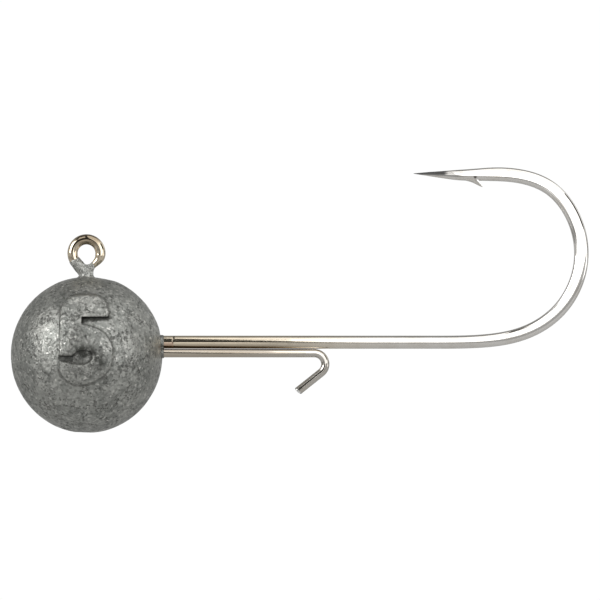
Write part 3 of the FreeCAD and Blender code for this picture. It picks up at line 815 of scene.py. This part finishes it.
def lead_material():
    m, nt = nodes_of("cast_lead")
    g_ = G(nt)
    out = g_.node("ShaderNodeOutputMaterial")
    b = g_.node("ShaderNodeBsdfPrincipled")
    nt.links.new(b.outputs[0], out.inputs[0])
    co = g_.coords()
    big = g_.noise(co, 520.0, 3.0, 0.6)
    mid = g_.noise(co, 2500.0, 5.0, 0.72)
    fine = g_.noise(co, 5600.0, 4.0, 0.75)
    grain = g_.voronoi(co, 5200.0)
    cell = g_.node("ShaderNodeTexVoronoi")
    nt.links.new(co, cell.inputs["Vector"])
    cell.inputs["Scale"].default_value = 6200.0
    csep = g_.node("ShaderNodeSeparateXYZ")
    nt.links.new(cell.outputs["Color"], csep.inputs[0])
    base = g_.mix(g_.ramp(big, 0.34, 0.66), (0.300, 0.308, 0.288), (0.432, 0.436, 0.408))
    base = g_.mix(g_.ramp(mid, 0.38, 0.66), g_.mix(0.30, base, (0.085, 0.088, 0.080)), base)
    base = g_.mix(g_.ramp(mid, 0.54, 0.80), base, (0.560, 0.555, 0.525))
    base = g_.mix(g_.math("MULTIPLY", g_.ramp(csep.outputs[0], 0.55, 1.0), 0.40), base, (0.66, 0.655, 0.62))
    base = g_.mix(g_.math("MULTIPLY", g_.ramp(csep.outputs[1], 0.62, 1.0), 0.50), base, (0.11, 0.113, 0.104))
    # dark oxide freckles, bright bare flecks
    clump = g_.noise(co, 1100.0, 3.0, 0.6)
    freck = g_.ramp(g_.math("ADD", g_.math("ADD", fine, g_.math("MULTIPLY", mid, 0.30)), g_.math("MULTIPLY", clump, 0.55)), 0.96, 1.06)
    base = g_.mix(g_.math("MULTIPLY", freck, 0.62), base, (0.050, 0.050, 0.046))
    fleck = g_.ramp(g_.noise(g_.stretch(co, (1.0, 1.0, 1.3)), 4200.0, 2.0, 0.5), 0.63, 0.73)
    base = g_.mix(g_.math("MULTIPLY", fleck, 0.75), base, (0.80, 0.79, 0.74))
    pit_ = g_.attr("pit")
    base = g_.mix(g_.math("MULTIPLY", g_.math("MULTIPLY", pit_, 0.75), g_.ramp(mid, 0.30, 0.55), clamp=True), base, (0.055, 0.055, 0.050))
    # painted shade along the base of the numeral
    foot_shade_ = g_.attr("foot")
    base = g_.mix(g_.math("MULTIPLY", g_.math("MULTIPLY", foot_shade_, 0.75), g_.ramp(big, 0.34, 0.60, 0.15, 1.0), clamp=True), base, (0.09, 0.09, 0.082))
    # lighter numeral edge: partly rubbed lead, partly painted highlight
    rubbed_lit_ = g_.attr("rubbed_and_lit_edge")
    base = g_.mix(g_.math("MULTIPLY", g_.math("MULTIPLY", rubbed_lit_, 0.34), g_.ramp(mid, 0.35, 0.65), clamp=True),
                  base, (0.62, 0.61, 0.57))
    # painted shade and painted dark reflection
    shade_patch_ = g_.math("MULTIPLY", g_.math("MULTIPLY", g_.attr("shade_patch"), 1.5), g_.ramp(mid, 0.72, 0.42), clamp=True)
    base = g_.mix(shade_patch_, base, (0.060, 0.061, 0.055))
    base = g_.mix(g_.math("MULTIPLY", g_.attr("shadow"), 0.88, clamp=True), base, (0.040, 0.041, 0.037))
    base = g_.mix(g_.math("MULTIPLY", g_.math("MULTIPLY", g_.attr("glint"), 0.8), g_.ramp(fine, 0.45, 0.62), clamp=True),
                  base, (0.78, 0.77, 0.72))
    gate_ = g_.attr("gate")
    base = g_.mix(g_.math("MULTIPLY", gate_, 0.5, clamp=True), base, (0.52, 0.52, 0.50))
    nt.links.new(base, b.inputs["Base Color"])
    b.inputs["Metallic"].default_value = 0.92
    rough = g_.ramp(mid, 0.25, 0.75, 0.46, 0.30)
    rough = g_.math("ADD", rough, g_.math("MULTIPLY", freck, 0.22))
    rough = g_.math("SUBTRACT", rough, g_.math("MULTIPLY", fleck, 0.12))
    rough = g_.math("ADD", rough, g_.math("MULTIPLY", pit_, 0.25), clamp=True)
    nt.links.new(rough, b.inputs["Roughness"])
    h = g_.math("ADD", g_.math("MULTIPLY", mid, 1.0), g_.math("MULTIPLY", fine, 0.45))
    h = g_.math("SUBTRACT", h, g_.math("MULTIPLY", freck, 0.35))
    h = g_.math("ADD", h, g_.math("MULTIPLY", grain, 0.25))
    nt.links.new(g_.bump(h, 1.0, 0.00005), b.inputs["Normal"])
    return m


def wire_material(name, tint_a, lit_tint, lit_full_x, rough, cut=False):
    m, nt = nodes_of(name)
    g_ = G(nt)
    out = g_.node("ShaderNodeOutputMaterial")
    b = g_.node("ShaderNodeBsdfPrincipled")
    nt.links.new(b.outputs[0], out.inputs[0])
    co = g_.coords()
    sep = g_.node("ShaderNodeSeparateXYZ")
    nt.links.new(co, sep.inputs[0])
    # painted light: the metal's yellow tint turns lighter and whiter toward the bend, where more light falls
    lit_ramp = g_.ramp(sep.outputs[0], 0.008, lit_full_x)
    cloud = g_.noise(co, 900.0, 4.0, 0.6)
    base = g_.mix(lit_ramp, tint_a, lit_tint)
    base = g_.mix(g_.math("MULTIPLY", g_.ramp(cloud, 0.42, 0.70), 0.25), base, (0.52, 0.46, 0.36))
    speck = g_.ramp(g_.noise(co, 5200.0, 3.0, 0.6), 0.70, 0.78)
    base = g_.mix(g_.math("MULTIPLY", speck, 0.45), base, (0.22, 0.18, 0.13))
    if cut:
        facet = g_.mix(g_.ramp(g_.noise(co, 4200.0, 3.0, 0.6), 0.44, 0.56), (0.42, 0.42, 0.40), (1.0, 1.0, 0.98))
        base = g_.mix(g_.math("MULTIPLY", g_.attr("cut"), 0.9, clamp=True), base, facet)
    else:
        # painted dark reflection on the point
        base = g_.mix(g_.math("MULTIPLY", g_.attr("point_dark_reflection"), 0.93, clamp=True), base, (0.045, 0.046, 0.048))
        # painted shade in the groove and at the root of the cut
        base = g_.mix(g_.math("MULTIPLY", g_.attr("groove_shade"), 0.92, clamp=True), base, (0.06, 0.05, 0.04))
        base = g_.mix(g_.math("MULTIPLY", g_.attr("stain"), 0.42, clamp=True), base, (0.48, 0.24, 0.17))
    # brown tint: partly tarnish, partly painted dark reflection
    base = g_.mix(g_.math("MULTIPLY", g_.attr("tarnish_and_dark_reflection"), 0.80, clamp=True), base, (0.20, 0.145, 0.085))
    nt.links.new(base, b.inputs["Base Color"])
    b.inputs["Metallic"].default_value = 1.0
    # drawing lines run along the wire
    comb = g_.node("ShaderNodeCombineXYZ")
    nt.links.new(g_.math("MULTIPLY", g_.attr("along"), 0.35), comb.inputs[0])
    nt.links.new(g_.math("MULTIPLY", g_.math("SINE", g_.attr("around")), 1.0), comb.inputs[1])
    nt.links.new(g_.math("MULTIPLY", g_.math("COSINE", g_.attr("around")), 1.0), comb.inputs[2])
    draw = g_.noise(comb.outputs[0], 9.0, 5.0, 0.65)
    fine = g_.noise(co, 2600.0, 4.0, 0.6)
    r = g_.math("ADD", rough, g_.math("MULTIPLY", g_.ramp(draw, 0.35, 0.75), 0.035))
    r = g_.math("ADD", r, g_.math("MULTIPLY", g_.ramp(fine, 0.45, 0.75), 0.03))
    if cut:
        r = g_.math("ADD", r, g_.math("MULTIPLY", g_.attr("cut"), 0.25), clamp=True)
    nt.links.new(r, b.inputs["Roughness"])
    h = g_.math("ADD", g_.math("MULTIPLY", draw, 0.7), g_.math("MULTIPLY", fine, 0.5))
    nt.links.new(g_.bump(h, 0.12, 0.000006), b.inputs["Normal"])
    return m


lead = lead_material()
nickel = wire_material("bright_nickel", (0.70, 0.61, 0.47), (0.80, 0.78, 0.75), 0.023, 0.055)
steel = wire_material("drawn_steel", (0.50, 0.445, 0.37), (0.60, 0.575, 0.535), 0.016, 0.05, cut=True)
for o, mat in ((ball, lead), (film, lead), (fillet, lead), (hook, nickel), (keeper, steel)):
    o.data.materials.clear()
    o.data.materials.append(mat)
for o in (ball, film, fillet):
    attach(o, "root")
    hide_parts("lead_head")
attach(hook, "root")
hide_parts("hook")
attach(keeper, "root")
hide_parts("keeper_wire")
for name, mat in (("lead_head", lead), ("hook", nickel), ("keeper_wire", steel)):
    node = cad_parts[name]
    for s_ in node.material_slots:
        s_.material = mat

# ---------------------------------------------------------------------- stage
fm, nt = nodes_of("floor")
g_ = G(nt)
out = g_.node("ShaderNodeOutputMaterial")
b = g_.node("ShaderNodeBsdfPrincipled")
nt.links.new(b.outputs[0], out.inputs[0])
b.inputs["Base Color"].default_value = (0.35, 0.35, 0.347, 1)
b.inputs["Roughness"].default_value = 0.9
b.inputs["Emission Color"].default_value = (1, 1, 1, 1)
b.inputs["Emission Strength"].default_value = 0.22
bm = bmesh.new()
bmesh.ops.create_circle(bm, cap_ends=True, segments=96, radius=0.27)
mesh = bpy.data.meshes.new("floor")
bm.to_mesh(mesh)
bm.free()
floor = bpy.data.objects.new("floor", mesh)
floor.location = (0.013, 0, -0.040)
mesh.materials.append(fm)
bpy.context.scene.collection.objects.link(floor)


def area(name, at, look, size_x, size_y, power, colour=(1, 1, 1), roll=0.0):
    lamp = bpy.data.lights.new(name, "AREA")
    lamp.shape = "RECTANGLE"
    lamp.size, lamp.size_y = size_x, size_y
    lamp.energy = power
    lamp.color = colour
    o = bpy.data.objects.new(name, lamp)
    o.location = at
    direction = Vector(look) - Vector(at)
    q_ = direction.to_track_quat("-Z", "Y")
    o.rotation_mode = "QUATERNION"
    o.rotation_quaternion = q_ @ Quaternion((0, 0, 1), roll)
    o.visible_camera = False
    bpy.context.scene.collection.objects.link(o)
    return o


def radiance(w, h, value):
    """Power in watts of a one-sided area lamp of that radiance."""
    return value * w * h * math.pi


def card(name, centre, right, up, width, height, value, colour=(1, 1, 1)):
    """A flat light with its sides along two directions; it shines along right x up."""
    right, up = Vector(right).normalized(), Vector(up).normalized()
    face = right.cross(up)
    o = area(name, centre, Vector(centre) + face, width, height, radiance(width, height, value), colour)
    o.rotation_quaternion = Matrix((right, -face.cross(right), -face)).transposed().to_quaternion()
    return o


def rot(deg):
    a_ = math.radians(deg)
    return Vector((math.cos(a_), 0, math.sin(a_))), Vector((-math.sin(a_), 0, math.cos(a_)))


# a tent of white panels with a narrow slot in front, where the camera looks in
r5, u5 = rot(5.5)
corner_r = Vector((0.0168, -0.100, -0.0105))
card("panel_right", corner_r + r5 * 0.075 + u5 * 0.052, -r5, u5, 0.150, 0.104, 1.75)
corner_l = Vector((0.0092, -0.100, -0.012))
card("panel_left_low", corner_l - r5 * 0.010 - u5 * 0.031, -r5, u5, 0.020, 0.070, 0.62)
top_r = Vector((math.cos(math.radians(-4)), math.sin(math.radians(-4)) * -1, 0))
top_b = Vector((-top_r.y, top_r.x, 0))
corner_t = Vector((0.0075, -0.108, 0.112))
card("panel_top", corner_t + top_r * 0.075 + top_b * 0.054, -top_r, top_b, 0.150, 0.108, 1.38)
card("side_left", (-0.0913, -0.0627, 0.0425), (-0.566, 0.824, 0), (0.2868, 0.197, 0.9073), 0.072, 0.080, 3.9)
card("near_top", (-0.031, -0.061, 0.089), (-1, 0, 0), (0, 0.822, 0.569), 0.042, 0.062, 1.25)
card("near_front", (0.0202, -0.022, 0.0106), (-0.83, 0.555, 0), (0, 0, 1), 0.018, 0.023, 1.25)
card("side_right", (0.175, -0.060, 0.000), (-0.45, -0.89, 0), (0, 0, 1), 0.08, 0.085, 1.3)

world = bpy.data.worlds.new("studio")
bpy.context.scene.world = world
world.use_nodes = True
nt = world.node_tree
nt.nodes.clear()
g_ = G(nt)
wout = g_.node("ShaderNodeOutputWorld")
tc = g_.node("ShaderNodeTexCoord").outputs["Generated"]
sep = g_.node("ShaderNodeSeparateXYZ")
nt.links.new(tc, sep.inputs[0])
ramp = g_.node("ShaderNodeValToRGB")
nt.links.new(g_.math("MULTIPLY_ADD", sep.outputs[2], 0.5, 0.5), ramp.inputs[0])
cr = ramp.color_ramp
cr.interpolation = "EASE"
stops = [(0.0, (0.46, 0.46, 0.455)), (0.30, (0.50, 0.50, 0.495)), (0.46, (0.52, 0.52, 0.515)),
         (0.54, (0.46, 0.46, 0.455)), (0.80, (0.36, 0.36, 0.355)), (1.0, (0.30, 0.30, 0.295))]
cr.elements[0].position, cr.elements[0].color = stops[0][0], (*stops[0][1], 1)
cr.elements[1].position, cr.elements[1].color = stops[-1][0], (*stops[-1][1], 1)
for p_, c_ in stops[1:-1]:
    e_ = cr.elements.new(p_)
    e_.color = (*c_, 1)
# darker in front and above, where nothing lights
front = g_.math("MULTIPLY", g_.ramp(sep.outputs[1], 0.02, 0.28, 1.0, 0.0), g_.ramp(sep.outputs[0], -0.62, -0.46))
above = g_.ramp(sep.outputs[2], -0.10, 0.08)
lean = g_.math("MULTIPLY", g_.math("MAXIMUM", g_.math("SUBTRACT", sep.outputs[2], 0.24), 0.0), 1.8)
left = g_.math("MULTIPLY", g_.ramp(sep.outputs[0], -0.80, -0.58, 1.0, 0.0),
               g_.ramp(g_.math("SUBTRACT", sep.outputs[1], lean), -0.55, -0.40, 1.0, 0.0))
lit = g_.mix(g_.math("MULTIPLY", left, above), ramp.outputs[0], (1.05, 1.05, 1.04))
dark = g_.mix(g_.math("MULTIPLY", front, above), lit, (0.06, 0.06, 0.058))
gap_x = g_.math("MULTIPLY", g_.ramp(sep.outputs[0], -0.62, -0.52), g_.ramp(sep.outputs[0], -0.34, -0.28, 1.0, 0.0))
gap_z = g_.math("MULTIPLY", g_.ramp(sep.outputs[2], -0.52, -0.42), g_.ramp(sep.outputs[1], -0.55, -0.40, 1.0, 0.0))
dark = g_.mix(g_.math("MULTIPLY", g_.math("MULTIPLY", gap_x, gap_z), g_.ramp(sep.outputs[2], -0.12, -0.06, 1.0, 0.0)),
              dark, (0.12, 0.115, 0.105))
behind = g_.math("MULTIPLY", g_.ramp(sep.outputs[0], 0.42, 0.58), g_.ramp(sep.outputs[1], 0.05, 0.25))
dark = g_.mix(g_.math("MULTIPLY", behind, g_.ramp(sep.outputs[2], 0.12, 0.30)), dark, (0.95, 0.95, 0.94))
bg = g_.node("ShaderNodeBackground")
nt.links.new(dark, bg.inputs[0])
white = g_.node("ShaderNodeBackground")
white.inputs[0].default_value = (1, 1, 1, 1)
white.inputs[1].default_value = 1.02
lp = g_.node("ShaderNodeLightPath")
mixs = g_.node("ShaderNodeMixShader")
nt.links.new(lp.outputs["Is Camera Ray"], mixs.inputs[0])
nt.links.new(bg.outputs[0], mixs.inputs[1])
nt.links.new(white.outputs[0], mixs.inputs[2])
nt.links.new(mixs.outputs[0], wout.inputs[0])

scene = bpy.context.scene
scene.view_settings.view_transform = "Standard"
scene.view_settings.look = "None"

# --------------------------------------------------------------------- camera
cam = bpy.data.cameras.new("camera")
cam.sensor_width = 36.0
DIST = 0.42
cam.lens = 36.0 * DIST / 0.0372
cam.clip_start, cam.clip_end = 0.01, 5.0
cam_o = bpy.data.objects.new("camera", cam)
cam_o.location = (0.013237, -DIST, -0.002895)
cam_o.rotation_euler = (math.pi / 2, 0, 0)
scene.collection.objects.link(cam_o)
scene.camera = cam_o

bpy.context.view_layer.update()
